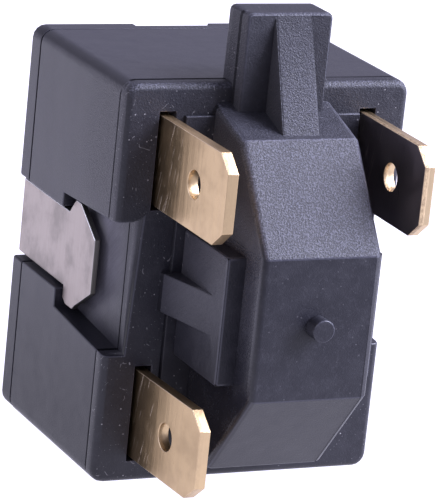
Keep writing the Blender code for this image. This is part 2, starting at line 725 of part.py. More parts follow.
def make_spring(name, side, rivet_heights):
    """Leaf spring from its riveted foot to the bowed crest that presses on the disc."""
    crest = FEATURE_SHIFT + side * (DISC_THICK / 2 + FIT)
    foot = side * FOOT_IN
    foot_front = TERMINAL_END - SPRING_FOOT_LENGTH
    crest_y = DISC_Y + SPRING_CREST_BEHIND
    curl_y = crest_y - SPRING_CURL_LENGTH
    line = [
        (foot, TERMINAL_END),
        (foot, foot_front),
        (crest + side * SPRING_CREST_BOW, crest_y + SPRING_CREST_HALF),
        (crest, crest_y),
        (crest + side * SPRING_CREST_BOW, crest_y - SPRING_CREST_HALF),
        (crest + side * SPRING_CURL_LIFT, curl_y),
    ]
    outline = strip(line, SPRING_THICK * side)
    low = STEP_Z - SPRING_FOOT_HEIGHT / 2
    high = STEP_Z + SPRING_FOOT_HEIGHT / 2
    spring = place(name, to_mesh(name, prism(outline, "Z", low, high)), "spring_steel")
    for label, start, end in (
        ("above", STEP_Z + SPRING_LEAF_HEIGHT / 2, high + SPRING_THICK),
        ("below", low - SPRING_THICK, STEP_Z - SPRING_LEAF_HEIGHT / 2),
    ):
        low_corner = (-EVERYWHERE, curl_y - SPRING_THICK, start)
        cut = block(low_corner, (EVERYWHERE, foot_front - SPRING_THICK, end))
        combine(spring, cut, f"{name}_{label}", "DIFFERENCE")
    for number, height in enumerate(rivet_heights, 1):
        rim = circle((RIVET_Y, height), RIVET_RADIUS + FIT, RIVET_FACETS)
        hole = prism(rim, "X", -EVERYWHERE, EVERYWHERE)
        combine(spring, hole, f"{name}_hole_{number}", "DIFFERENCE")
    return spring


def make_rivet(name, side, height):
    """Rivet, flush outside and with a round head inside."""
    head = FOOT_IN - FIT
    profile = [
        (0.0, BLADE_OUT),
        (RIVET_RADIUS, BLADE_OUT),
        (RIVET_RADIUS, head),
        (RIVET_HEAD_RADIUS, head),
        (RIVET_HEAD_RADIUS * 0.94, head - RIVET_HEAD * 0.45),
        (RIVET_HEAD_RADIUS * 0.60, head - RIVET_HEAD * 0.85),
        (0.0, head - RIVET_HEAD),
    ]
    points = [(side * x, RIVET_Y + radius, height) for radius, x in profile]
    form = turned(points, (0.0, RIVET_Y, height), (1.0, 0.0, 0.0), RIVET_FACETS)
    return place(name, to_mesh(name, form), "brass")


def main():
    """Empty the scene and build the relay."""
    for item in list(bpy.data.objects):
        bpy.data.objects.remove(item, do_unlink=True)
    carrier = bpy.data.objects.new(CARRIER, None)
    carrier.location.y = -MIDDLE_Y
    bpy.context.scene.collection.objects.link(carrier)
    finish("black_moulding", (0.030, 0.030, 0.036), 0.55)
    finish("bright_steel", (0.62, 0.58, 0.58), 0.35, 1.0)
    finish("spring_steel", (0.50, 0.50, 0.50), 0.30, 1.0)
    finish("brass", (0.72, 0.52, 0.33), 0.30, 1.0)
    finish("silvered_ceramic", (0.70, 0.70, 0.68), 0.45, 0.6)
    make_housing()
    make_cover()
    make_clip()
    run_leg = (UPPER_RIVET_Z - RIVET_HEAD_RADIUS - FIT, -1)
    supply_leg = (LOWER_RIVET_Z + RIVET_HEAD_RADIUS + FIT, 1)
    make_terminal("run_terminal", -1, UPPER_ROW_Z, RUN_REACH, RUN_LEAN, run_leg, True)
    make_terminal("start_terminal", 1, UPPER_ROW_Z, START_REACH, START_LEAN, run_leg, True)
    make_terminal("supply_terminal", -1, LOWER_ROW_Z, SUPPLY_REACH, SUPPLY_LEAN, supply_leg, False)
    make_grip("run_grip_spring", -1)
    make_grip("start_grip_spring", 1)
    make_disc()
    make_spring("run_contact_spring", -1, (UPPER_RIVET_Z, LOWER_RIVET_Z))
    make_spring("start_contact_spring", 1, (UPPER_RIVET_Z,))
    make_rivet("run_rivet", -1, UPPER_RIVET_Z)
    make_rivet("supply_rivet", -1, LOWER_RIVET_Z)
    make_rivet("start_rivet", 1, UPPER_RIVET_Z)


main()
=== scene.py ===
"""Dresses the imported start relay: moulded housing, stamped brass blades and a rolled steel clip.

Sizes are in millimetres unless a name says otherwise. A node of the frame that has the right form
keeps it: its piece is welded, its edges are broken as the tool left them, and it gets its finish.
"""

import json
import logging
import math
from dataclasses import dataclass, field
from enum import Enum
from typing import Any, Callable, Iterable, Mapping, Optional, Sequence, Union

import bmesh
import bpy
from mathutils import Matrix, Vector

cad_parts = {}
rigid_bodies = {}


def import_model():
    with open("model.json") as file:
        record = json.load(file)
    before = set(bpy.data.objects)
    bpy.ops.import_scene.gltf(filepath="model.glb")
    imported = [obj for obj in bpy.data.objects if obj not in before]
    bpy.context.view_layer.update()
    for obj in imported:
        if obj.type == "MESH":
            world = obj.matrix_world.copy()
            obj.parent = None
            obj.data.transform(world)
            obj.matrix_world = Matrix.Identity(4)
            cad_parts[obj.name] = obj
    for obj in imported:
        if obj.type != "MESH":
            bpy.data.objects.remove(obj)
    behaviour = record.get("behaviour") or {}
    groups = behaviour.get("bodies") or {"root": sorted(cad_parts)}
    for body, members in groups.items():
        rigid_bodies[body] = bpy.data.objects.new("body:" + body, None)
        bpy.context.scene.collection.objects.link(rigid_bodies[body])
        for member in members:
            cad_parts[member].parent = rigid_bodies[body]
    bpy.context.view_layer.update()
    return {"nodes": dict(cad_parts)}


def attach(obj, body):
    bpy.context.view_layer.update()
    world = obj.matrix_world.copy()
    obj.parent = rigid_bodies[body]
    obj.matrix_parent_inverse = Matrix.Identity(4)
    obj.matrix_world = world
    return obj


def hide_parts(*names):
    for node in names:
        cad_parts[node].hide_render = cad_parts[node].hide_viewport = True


LOG = logging.getLogger("start_relay")
MM = 0.001
ROOT = "root"
RIM = "rim"
SHEET = "sheet"
FRONT_DEPTH = 3.345
PARTING = 1.23 - FRONT_DEPTH
BLACK_FOR_LINES_AND_SHADE = (0.003, 0.003, 0.004)

Colour = tuple[float, float, float]
Number = Union[float, "Value"]
Span = tuple[float, float]
Test = Callable[[Vector], bool]


class Slot(Enum):
    """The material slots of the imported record."""

    MOULDING = "black_moulding"
    BRASS = "brass"
    CLIP_STEEL = "bright_steel"
    SPRING_STEEL = "spring_steel"
    CERAMIC = "silvered_ceramic"


class Axis(Enum):
    """The direction that rolling lines run along."""

    X = (1.0, 0.0, 0.0)
    Y = (0.0, 1.0, 0.0)
    Z = (0.0, 0.0, 1.0)


class Value:
    """One socket of a node tree, with the arithmetic that shader maths needs."""

    def __init__(self, graph: "Graph", socket: bpy.types.NodeSocket) -> None:
        """Wrap a socket.

        Args:
            graph: The graph that the socket belongs to.
            socket: The output socket that carries the value.
        """
        self.graph = graph
        self.socket = socket

    def math(self, operation: str, *others: Number) -> "Value":
        """Add a Math node that starts with this value.

        Args:
            operation: The Math node's operation.
            others: The values that follow this one.

        Returns:
            The node's result.
        """
        return self.graph.math(operation, self, *others)

    def __add__(self, other: Number) -> "Value":
        """Sum."""
        return self.math("ADD", other)

    __radd__ = __add__

    def __mul__(self, other: Number) -> "Value":
        """Product."""
        return self.math("MULTIPLY", other)

    __rmul__ = __mul__

    def __sub__(self, other: Number) -> "Value":
        """Difference."""
        return self.math("SUBTRACT", other)

    def __rsub__(self, other: Number) -> "Value":
        """Difference, with this value taken away."""
        return self.graph.math("SUBTRACT", other, self)

    def __abs__(self) -> "Value":
        """Size without its sign."""
        return self.math("ABSOLUTE")

    def above(self, low: float, high: float) -> "Value":
        """A soft step that rises from 0 at low to 1 at high.

        Args:
            low: Where the step starts.
            high: Where the step ends. It may lie under low, and the step then falls.

        Returns:
            The step's value, from 0 to 1.
        """
        settings = {"interpolation_type": "SMOOTHSTEP"}
        sockets = {"Value": self, "From Min": low, "From Max": high}
        return self.graph.node("ShaderNodeMapRange", settings, sockets)


class Graph:
    """The node tree of one material, built up by expressions."""

    def __init__(self, name: str) -> None:
        """Start a material with an empty tree.

        Args:
            name: The material's name.
        """
        self.material = bpy.data.materials.new(name)
        self.material.use_nodes = True
        self.tree = self.material.node_tree
        self.tree.nodes.clear()

    def node(
        self,
        kind: str,
        settings: Optional[Mapping[str, Any]] = None,
        sockets: Optional[Mapping[Union[str, int], Any]] = None,
        output: Union[str, int] = 0,
    ) -> Value:
        """Add any node.

        Args:
            kind: The node's type.
            settings: Its settings, and a ramp's stops under "stops" as pairs of place and grey or colour.
            sockets: Its inputs by name or number, each a Value or a plain value.
            output: The output to hand on.

        Returns:
            The chosen output.
        """
        made = self.tree.nodes.new(kind)
        for name, setting in (settings or {}).items():
            if name == "stops":
                self._set_stops(made.color_ramp, setting)
            else:
                setattr(made, name, setting)
        for name, value in (sockets or {}).items():
            socket = made.inputs[name]
            if isinstance(value, Value):
                self.tree.links.new(value.socket, socket)
            else:
                socket.default_value = value
        return Value(self, made.outputs[output])

    @staticmethod
    def _set_stops(ramp: bpy.types.ColorRamp, stops: Sequence[tuple[float, Colour]]) -> None:
        """Give a ramp its stops.

        Args:
            ramp: The ramp.
            stops: Pairs of place and colour, in rising order.
        """
        while len(ramp.elements) < len(stops):
            ramp.elements.new(1.0)
        for element, (place, colour) in zip(ramp.elements, stops):
            element.position = place
            element.color = (*colour, 1.0)

    def math(self, operation: str, *values: Number) -> Value:
        """Add a Math node.

        Args:
            operation: The node's operation.
            values: Its inputs in order.

        Returns:
            The node's result.
        """
        return self.node("ShaderNodeMath", {"operation": operation}, dict(enumerate(values)))

    def mix(self, share: Number, first: Any, second: Any) -> Value:
        """Mix two colours.

        Args:
            share: How much of the second colour shows.
            first: A colour or a Value.
            second: A colour or a Value.

        Returns:
            The mixed colour.
        """
        settings = {"data_type": "RGBA", "blend_type": "MIX", "clamp_factor": True}
        sockets = {0: share, 6: self._colour(first), 7: self._colour(second)}
        return self.node("ShaderNodeMix", settings, sockets, 2)

    def tint(self, colour: Any, grey: Value) -> Value:
        """Multiply a colour by a grey value."""
        return self.node(
            "ShaderNodeVectorMath", {"operation": "SCALE"}, {0: self._plain(colour), "Scale": grey}
        )

    @staticmethod
    def _colour(value: Any) -> Any:
        """A colour with its alpha, or a Value as it is."""
        return value if isinstance(value, Value) else (*value, 1.0)

    @staticmethod
    def _plain(value: Any) -> Any:
        """A colour as three numbers, or a Value as it is."""
        return value if isinstance(value, Value) else tuple(value)

    def place(self) -> Value:
        """The surface point in the object's own millimetres."""
        point = self.node("ShaderNodeTexCoord", output="Object")
        return self.stretch(point, (1 / MM, 1 / MM, 1 / MM))

    def stretch(
        self, point: Value, scale: Sequence[float], shift: Sequence[float] = (0.0, 0.0, 0.0)
    ) -> Value:
        """Scale a point and then move it.

        Args:
            point: The point to change.
            scale: The factor on each axis.
            shift: What is added after that.

        Returns:
            The new point.
        """
        sockets = {0: point, 1: tuple(scale), 2: tuple(shift)}
        return self.node("ShaderNodeVectorMath", {"operation": "MULTIPLY_ADD"}, sockets)

    def turn(self, point: Value, angles: Sequence[float]) -> Value:
        """Turn a point about the origin by angles about X, Y and Z."""
        settings = {"rotation_type": "EULER_XYZ"}
        return self.node("ShaderNodeVectorRotate", settings, {"Vector": point, "Rotation": tuple(angles)})

    def parts(self, point: Value) -> tuple[Value, Value, Value]:
        """Split a point.

        Args:
            point: The point.

        Returns:
            Its three coordinates.
        """
        split = self.node("ShaderNodeSeparateXYZ", sockets={0: point})
        outputs = split.socket.node.outputs
        return Value(self, outputs[0]), Value(self, outputs[1]), Value(self, outputs[2])

    def facing(self) -> tuple[Value, Value, Value]:
        """The three coordinates of the surface's outward direction in the frame."""
        return self.parts(self.node("ShaderNodeNewGeometry", output="Normal"))

    def noise(self, point: Value, scale: float, detail: float = 2.0, roughness: float = 0.5) -> Value:
        """Cloudy noise around one half.

        Args:
            point: Where it is read.
            scale: Features for each millimetre.
            detail: How many finer layers it has.
            roughness: How strong the finer layers are.

        Returns:
            The noise, from 0 to 1.
        """
        sockets = {"Vector": point, "Scale": scale, "Detail": detail, "Roughness": roughness}
        return self.node("ShaderNodeTexNoise", None, sockets)

    def specks(self, point: Value, scale: float, radius: float, share: float) -> Value:
        """Small round marks, one in a share of the cells of a loose grid.

        Args:
            point: Where they are read.
            scale: Cells for each millimetre.
            radius: A mark's largest radius, in cells.
            share: The share of the cells that hold a mark.

        Returns:
            The marks, from 0 to 1.
        """
        sockets = {"Vector": point, "Scale": scale}
        cell = self.node("ShaderNodeTexVoronoi", None, sockets, "Distance")
        chance, size, _ = self.parts(Value(self, cell.socket.node.outputs["Color"]))
        lucky = chance.math("LESS_THAN", share)
        reach = size * (0.7 * radius) + 0.3 * radius
        return lucky * (reach - cell).above(0.0, 0.35 * radius)

    def rim(self) -> Value:
        """How near the surface point is to the middle of a broken edge, from 0 to 1."""
        return self.node("ShaderNodeAttribute", {"attribute_name": RIM}, output="Fac")

    def sheet(self) -> Value:
        """How near the surface point is to the left face of its sheet, from 0 to 1."""
        return self.node("ShaderNodeAttribute", {"attribute_name": SHEET}, output="Fac")

    def bump(self, height: Value, depth: float) -> Value:
        """Relief from a height.

        Args:
            height: The height, from 0 to 1.
            depth: What a height of 1 stands for, in millimetres.

        Returns:
            The bent normal.
        """
        return self.node("ShaderNodeBump", None, {"Height": height, "Distance": depth * MM, "Strength": 1.0})

    def finish(self, sockets: Mapping[str, Any], black_share: Optional[Value] = None) -> bpy.types.Material:
        """Close the tree with one Principled shader.

        Args:
            sockets: The shader's inputs by name.
            black_share: Where the surface is drawn black, from 0 to 1: dark joint lines, and painted shade.

        Returns:
            The finished material.
        """
        shader = self.node("ShaderNodeBsdfPrincipled", None, sockets)
        if black_share is not None:
            dark = {"Base Color": (*BLACK_FOR_LINES_AND_SHADE, 1.0), "Roughness": 1.0, "Specular IOR Level": 0.0}
            depths = self.node("ShaderNodeBsdfPrincipled", None, dark)
            shader = self.node("ShaderNodeMixShader", None, {0: black_share, 1: shader, 2: depths})
        output = self.tree.nodes.new("ShaderNodeOutputMaterial")
        self.tree.links.new(shader.socket, output.inputs["Surface"])
        return self.material


@dataclass(frozen=True)
class Spot:
    """What the moulding's finish reads at one point of the surface."""

    graph: Graph
    point: Value
    side: Value
    depth: Value
    height: Value
    facing_x: Value
    facing_z: Value
    grain: Value
    rim: Value

    @classmethod
    def read(cls, graph: Graph, grain_scale: float) -> "Spot":
        """Read a point with its direction, its coarse grain and its broken edge.

        Args:
            graph: The material's graph.
            grain_scale: Features of the coarse grain for each millimetre.

        Returns:
            The spot.
        """
        point = graph.place()
        side, depth, height = graph.parts(point)
        facing_x, _, facing_z = graph.facing()
        grain = graph.noise(point, grain_scale, 3.0, 0.60)
        return cls(graph, point, side, depth, height, facing_x, facing_z, grain, graph.rim())


@dataclass(frozen=True)
class MouldedBlack:
    """Black glass-filled moulding: spark-eroded slope and post, finer box, smooth face, dust and edge wear,
    with painted highlights on grain and edges, painted light on the sides and recess floor and painted shade
    by the block.

    A pair of numbers says where a soft step starts and ends, in millimetres or as a direction's share.

    Attributes:
        colour: The clean moulding.
        wear_and_painted_light: The grain's peaks and the broken edges, lighter: grain and wear, with painted
            highlight on up-facing slopes and on edges.
        haze_and_painted_light: The pale film on the box, and the painted light on its upper sides.
        dust: Specks and nicks.
        grain_bottom: The height at which the coarse grain ends.
        grain_back: The depth at which the coarse grain ends.
        grain_scale: Features of the coarse grain for each millimetre.
        grain_depth: Its relief.
        fine_scale: Features of the fine grain for each millimetre.
        fine_depth: Its relief.
        wave_scale: Features of the sink marks for each millimetre.
        wave_depth: Their relief.
        upright: How far a face looks left or right to count as a side.
        skin: Where the outer sides of the box lie.
        lip_depth: Where the fine grain gets rougher towards the front.
        lip_height: Where it gets rougher towards the top.
        lip_grain: How much rougher it gets.
        recess_x: The floor of the side recesses.
        recess_painted_light_tone: The lighter tone on that floor: painted light that lifts the shade by the
            clip, with scuff streaks.
        mottle_scale: Clouds of the film for each millimetre.
        freckle_scale: Freckles of the film for each millimetre.
        side_painted_light: The heights over which painted light makes the sides lighter towards the top.
        side_painted_light_share: How strong that painted light gets.
        corner_painted_shade: The span in depth of the painted shade on left-facing walls where the block's
            side meets the box.
        crack_width: The half width of the dark parting line round the post.
        crack_height: Where that line ends up the post.
        crack_side: Where it grows stronger to the left.
        wall_outer: The outer limit of the glossier left wall of the block.
        wall_inner: Its inner limit.
        wall_gloss: How much glossier it is.
        roughness: The clean moulding's roughness.
    """

    colour: Colour = (0.0100, 0.0100, 0.0150)
    wear_and_painted_light: Colour = (0.085, 0.086, 0.115)
    haze_and_painted_light: Colour = (0.100, 0.098, 0.116)
    dust: Colour = (0.42, 0.41, 0.42)
    grain_bottom: float = 18.90
    grain_back: float = 1.18 - FRONT_DEPTH
    grain_scale: float = 8.2
    grain_depth: float = 0.070
    fine_scale: float = 9.0
    fine_depth: float = 0.018
    wave_scale: float = 0.35
    wave_depth: float = 0.05
    upright: Span = (0.80, 0.95)
    skin: Span = (10.2, 10.5)
    lip_depth: Span = (6.0, -1.0)
    lip_height: Span = (16.0, 22.0)
    lip_grain: float = 4.5
    recess_x: float = 9.07
    recess_painted_light_tone: Colour = (0.235, 0.230, 0.270)
    mottle_scale: float = 0.9
    freckle_scale: float = 4.5
    side_painted_light: Span = (3.0, 17.0)
    side_painted_light_share: float = 0.40
    corner_painted_shade: Span = (-FRONT_DEPTH - 0.34, -FRONT_DEPTH)
    crack_width: Span = (0.24, 0.12)
    crack_height: Span = (29.5, 28.6)
    crack_side: Span = (5.0, 1.0)
    wall_outer: Span = (-4.60, -4.45)
    wall_inner: Span = (-3.85, -4.00)
    wall_gloss: float = 0.16
    roughness: float = 0.38

    def build(self) -> bpy.types.Material:
        """Build the material.

        Returns:
            The material of the housing and its rear cover.
        """
        graph = Graph(Slot.MOULDING.value)
        spot = Spot.read(graph, self.grain_scale)
        coarse = self.coarse(spot)
        sides = abs(spot.facing_x).above(*self.upright) * abs(spot.side).above(*self.skin)
        mottle = graph.noise(spot.point, self.mottle_scale, 3.0).above(0.35, 0.75)
        freckle = graph.noise(spot.point, self.freckle_scale, 3.0, 0.7).above(0.50, 0.70)
        # Painted light: the outer sides get lighter towards the top; mottle and freckles are the film
        # itself.
        side_painted_light = sides * spot.height.above(*self.side_painted_light) * (freckle * 0.30 + mottle * 0.30 + 0.70)
        haze_and_painted_light = mottle * 0.05 + freckle * 0.08 + side_painted_light * self.side_painted_light_share
        # Painted highlight: grain peaks on sloped faces and the middles of broken edges are drawn lighter,
        # on top of real grain and wear.
        wear_and_painted_light = self.peaks(spot, coarse) + spot.rim.math("MAXIMUM", 0.0) * 0.30
        colour = graph.mix(haze_and_painted_light, self.colour, self.haze_and_painted_light)
        # Painted light: the recess floor is drawn lighter by the clip, where shade falls.
        colour = graph.mix(self.recess_painted_light(spot), colour, self.recess_painted_light_tone)
        colour = graph.mix(wear_and_painted_light, colour, self.wear_and_painted_light)
        colour = graph.mix(self.marks(spot), colour, self.dust)
        roughness = self.roughness - self.left_wall(spot) * self.wall_gloss + coarse * 0.10 + sides * 0.06
        roughness = roughness + mottle * 0.06 + freckle * 0.05 - spot.rim * 0.06
        return graph.finish({
            "Base Color": colour,
            "Roughness": roughness,
            "IOR": 1.40,
            "Normal": graph.bump(self.relief(spot, coarse), 1.0),
        }, self.dark_lines_and_painted_shade(spot))

    def coarse(self, spot: Spot) -> Value:
        """Where the coarse grain lies: on the slope, the shelf and the front of the post."""
        high = spot.height.above(self.grain_bottom - 0.08, self.grain_bottom + 0.08)
        return high * spot.depth.above(self.grain_back + 0.05, self.grain_back - 0.05)

    def relief(self, spot: Spot, coarse: Value) -> Value:
        """The grain and the sink marks as one height.

        Args:
            spot: The point of the surface.
            coarse: Where the coarse grain lies.

        Returns:
            The height in millimetres.
        """
        lip = abs(spot.facing_x).above(*self.upright)
        lip = lip * spot.depth.above(*self.lip_depth) * spot.height.above(*self.lip_height)
        fine = spot.graph.noise(spot.point, self.fine_scale, 2.0, 0.6)
        wave = spot.graph.noise(spot.point, self.wave_scale, 1.0)
        relief = spot.grain * coarse * self.grain_depth * (spot.facing_z.above(0.02, 0.50) * 0.45 + 0.55)
        relief = relief + fine * (1 - coarse * 0.5 + lip * self.lip_grain) * self.fine_depth
        return relief + wave * self.wave_depth

    def peaks(self, spot: Spot, coarse: Value) -> Value:
        """The coarse grain's peaks, made lighter with painted light, which fades on upright and on level
        faces.

        Args:
            spot: The point of the surface.
            coarse: Where the coarse grain lies.

        Returns:
            The peaks, from 0 to 1.
        """
        sloped = spot.facing_z.above(0.02, 0.50) * 0.60 + 0.03
        tilted = spot.facing_z.above(0.965, 0.88) * 0.6 + spot.facing_z.above(0.995, 0.970) * 0.4
        return spot.grain.above(0.44, 0.66) * coarse * sloped * tilted

    def marks(self, spot: Spot) -> Value:
        """Dust and nicks, most of them on the front of the box.

        Args:
            spot: The point of the surface.

        Returns:
            The marks, from 0 to 1.
        """
        front = spot.depth.above(self.grain_back + 0.3, self.grain_back - 0.6)
        near_box = spot.depth.above(-FRONT_DEPTH - 1.5, -FRONT_DEPTH - 0.5)
        dust = self.specks(spot) * (front * 0.90 + 0.04) * (near_box * 0.82 + 0.18)
        return dust + self.nicks(spot) * front * near_box * spot.side.above(2.0, -3.0) * 0.26

    def dark_lines_and_painted_shade(self, spot: Spot) -> Value:
        """The parting groove, the dark line round the post, and painted shade on left-facing walls where the
        block's side meets the box.

        Args:
            spot: The point of the surface.

        Returns:
            Where the surface is drawn black, from 0 to 1.
        """
        inner, outer = self.corner_painted_shade
        # Painted shade on left-facing walls close to the front of the box.
        corner_painted_shade = spot.facing_x.above(-0.30, -0.70) * spot.depth.above(inner - 0.06, inner + 0.02)
        corner_painted_shade = corner_painted_shade * spot.depth.above(outer + 0.03, outer - 0.01)
        crack = (abs(spot.depth - PARTING) + (spot.grain - 0.5) * 0.20).above(*self.crack_width)
        crack = crack * spot.facing_z.above(0.90, 0.98) * spot.height.above(*self.crack_height)
        crack = crack * (spot.side.above(*self.crack_side) * 0.6 + 0.4)
        return spot.rim.above(-0.15, -0.50) + corner_painted_shade * 0.65 + crack * 0.8

    def left_wall(self, spot: Spot) -> Value:
        """Where the left wall of the chamber block lies."""
        facing_left = spot.facing_x.above(-0.50, -0.90)
        return facing_left * spot.side.above(*self.wall_outer) * spot.side.above(*self.wall_inner)

    def recess_painted_light(self, spot: Spot) -> Value:
        """Painted light on the floor of the left recess, with scuff streaks: strongest by the clip, where it
        lifts the shade, and weaker towards the bottom.

        Args:
            spot: The point of the surface.

        Returns:
            The painted light with its streaks, from 0 to 1.
        """
        floor = abs(spot.side).above(self.recess_x + 0.16, self.recess_x + 0.08)
        floor = floor * abs(spot.facing_x).above(*self.upright)
        tilted = spot.graph.turn(spot.point, (math.radians(42), 0.0, 0.0))
        streaks = spot.graph.noise(spot.graph.stretch(tilted, (1.0, 0.5, 9.0)), 1.0, 2.0).above(0.25, 0.75)
        near_clip = spot.depth.above(-FRONT_DEPTH + 0.6, -FRONT_DEPTH + 3.8) * 0.45
        near_clip = near_clip + spot.depth.above(-FRONT_DEPTH + 3.4, -FRONT_DEPTH + 5.8) * 0.85
        low = spot.height.above(10.5, 15.0) * 0.80 + 0.20
        return floor * (streaks * 0.25 + 0.75) * (near_clip + 0.14) * low * spot.side.above(4.0, -4.0)

    def specks(self, spot: Spot) -> Value:
        """Dust: a few clear specks and many faint ones.

        Args:
            spot: The point of the surface.

        Returns:
            The dust, from 0 to 1.
        """
        moved = spot.graph.stretch(spot.point, (1.0, 1.0, 1.0), (3.7, 1.9, 5.1))
        clear = spot.graph.specks(spot.point, 3.0, 0.20, 0.20)
        faint = spot.graph.specks(moved, 5.0, 0.20, 0.28)
        return clear * 0.50 + faint * 0.26

    def nicks(self, spot: Spot) -> Value:
        """Short curled scratches.

        Args:
            spot: The point of the surface.

        Returns:
            The scratches, from 0 to 1.
        """
        moved = spot.graph.stretch(spot.point, (1.0, 1.0, 1.0), (9.1, 4.3, 2.2))
        curl = abs(spot.graph.noise(spot.point, 1.1, 0.0) - 0.5).above(0.020, 0.006)
        return curl * spot.graph.noise(moved, 1.7, 1.0).above(0.62, 0.68)


@dataclass(frozen=True)
class RolledMetal:
    """Rolled and stamped sheet metal, with rolling lines, smudges, pits and scratches.

    Attributes:
        name: The material's name.
        colour: The clean metal.
        stain: Smudges, pits and torn edges.
        scraped: Drag marks near the root.
        fresh: Bare metal on the sheared edges.
        left_face_painted_shade: Painted shade on the left face of pieces on the right.
        edge_painted_highlight: The painted highlight on upper left edges.
        lines: The direction of the rolling lines.
        gloss: The roughness between the lines.
        grain: The relief of the rolling lines, in millimetres.
        stain_share: How strong the smudges are.
        scratches: How strong the fine scratches are.
        drag: How strong the drag marks are.
        edge_painted_shade: How far the sheared edges are darkened with painted shade.
        root: The depths over which the drag marks set in.
        right: Where the pieces on the right begin.
    """

    name: str
    colour: Colour
    stain: Colour
    scraped: Colour = (0.95, 0.86, 0.74)
    fresh: Colour = (0.86, 0.70, 0.47)
    left_face_painted_shade: Colour = (0.46, 0.44, 0.52)
    edge_painted_highlight: Colour = (0.80, 0.66, 0.47)
    lines: Axis = Axis.Z
    gloss: float = 0.24
    grain: float = 0.004
    stain_share: float = 0.35
    scratches: float = 0.5
    drag: float = 0.0
    edge_painted_shade: float = 0.0
    root: Span = (-FRONT_DEPTH - 4.2, -FRONT_DEPTH - 2.2)
    right: Span = (-7.0, 7.0)

    def build(self) -> bpy.types.Material:
        """Build the material.

        Returns:
            The material.
        """
        graph = Graph(self.name)
        point = graph.place()
        side, _, _ = graph.parts(point)
        facing_x, facing_y, facing_z = graph.facing()
        lines = graph.noise(graph.stretch(point, self.drawn_out(0.45, 13.0)), 1.0, 3.0, 0.6)
        bands = graph.noise(graph.stretch(point, self.drawn_out(0.12, 2.4)), 1.0, 2.0)
        smudge = graph.noise(point, 0.45, 4.0, 0.6).above(0.40, 0.72)
        pits = graph.specks(point, 2.6, 0.10, 0.20)
        hairs = self.hairs(graph, point)
        sheared = abs(facing_x).above(0.75, 0.35)
        faces = 1 - sheared
        drags = self.drags(graph, point, faces)
        tip = facing_y.above(-0.60, -0.90)
        right = side.above(*self.right)
        # Painted highlight on the middles of upper left edges.
        edge_painted_highlight = graph.rim().above(0.15, 0.75) * (facing_z.above(0.10, 0.35) * 0.8 + 0.2)
        edge_painted_highlight = edge_painted_highlight * facing_x.above(-0.20, -0.45)
        shear = graph.noise(graph.stretch(point, (6.0, 4.0, 4.0)), 1.0, 3.0, 0.65)
        torn = sheared * graph.sheet().above(0.50, 0.68) * (right * 0.60 + 0.40 - tip * 0.25)
        colour = graph.mix(smudge * self.stain_share * 0.6, self.colour, self.stain)
        colour = graph.mix(sheared * (right * 0.22 + tip * 0.14), colour, self.fresh)
        # Painted shade: the left faces of pieces on the right are drawn darker.
        colour = graph.mix(facing_x.above(-0.75, -0.90) * right * 0.6, colour, self.left_face_painted_shade)
        colour = graph.mix(pits * 0.5 + torn * (shear.above(0.35, 0.65) * 0.6 + 0.1), colour, self.stain)
        colour = graph.mix(drags, colour, self.scraped)
        # Painted shade on the sheared edges.
        colour = graph.mix(sheared * self.edge_painted_shade, colour, self.stain)
        colour = graph.mix(edge_painted_highlight, colour, self.edge_painted_highlight)
        roughness = self.gloss + lines * 0.10 + smudge * 0.10 + sheared * 0.06 + torn * 0.16 + hairs * 0.1
        roughness = roughness + drags * 0.40 + edge_painted_highlight * 0.15
        relief = lines * faces * self.grain + bands * self.grain * 4.0 - pits * 0.012
        relief = relief - hairs * 0.008 + torn * shear * 0.040
        return graph.finish({
            "Base Color": colour,
            "Roughness": roughness,
            "Metallic": 1.0,
            "Normal": graph.bump(relief, 1.0),
        })

    def drawn_out(self, along: float, across: float) -> tuple[float, ...]:
        """The scale on each axis of a pattern that is drawn out along the rolling lines."""
        return tuple(along if share else across for share in self.lines.value)

    def hairs(self, graph: Graph, point: Value) -> Value:
        """Long fine scratches that lie in patches.

        Args:
            graph: The material's graph.
            point: The point of the surface.

        Returns:
            The scratches, from 0 to 1.
        """
        tilted = graph.turn(point, (0.5, 0.35, 0.2))
        hairs = graph.noise(graph.stretch(tilted, (5.0, 5.0, 0.22)), 1.0, 1.0).above(0.735, 0.765)
        patches = graph.noise(graph.stretch(point, (0.3, 0.3, 0.3), (4.0, 2.0, 7.0)), 1.0)
        return hairs * patches.above(0.45, 0.62) * self.scratches

    def drags(self, graph: Graph, point: Value, faces: Value) -> Value:
        """Marks that a plug left on the broad faces, near the root.

        Args:
            graph: The material's graph.
            point: The point of the surface.
            faces: Where the broad faces lie.

        Returns:
            The marks, from 0 to 1.
        """
        _, depth, _ = graph.parts(point)
        turned = graph.turn(point, (-0.25, 0.0, 0.0))
        drags = graph.noise(graph.stretch(turned, (4.0, 13.0, 0.22)), 1.0, 1.0).above(0.64, 0.70)
        patches = graph.noise(point, 0.9, 1.0).above(0.38, 0.55)
        return drags * patches * (depth.above(*self.root) * faces) * self.drag


@dataclass(frozen=True)
class SilveredCeramic:
    """Ceramic pill with a fired silver electrode on both faces and a bare grey rim."""

    silver: Colour = (0.72, 0.71, 0.68)
    ceramic: Colour = (0.16, 0.13, 0.11)

    def build(self) -> bpy.types.Material:
        """Build the material.

        Returns:
            The material.
        """
        graph = Graph(Slot.CERAMIC.value)
        point = graph.place()
        facing_x, _, _ = graph.facing()
        face = abs(facing_x).above(0.80, 0.95)
        cloud = graph.noise(point, 1.5, 4.0)
        grain = graph.noise(point, 12.0, 2.0)
        colour = graph.mix(face, self.ceramic, graph.tint(self.silver, cloud * 0.3 + 0.82))
        return graph.finish({
            "Base Color": colour,
            "Roughness": 0.62 - face * 0.22 + cloud * 0.1,
            "Metallic": face,
            "Normal": graph.bump(grain, 0.006),
        })


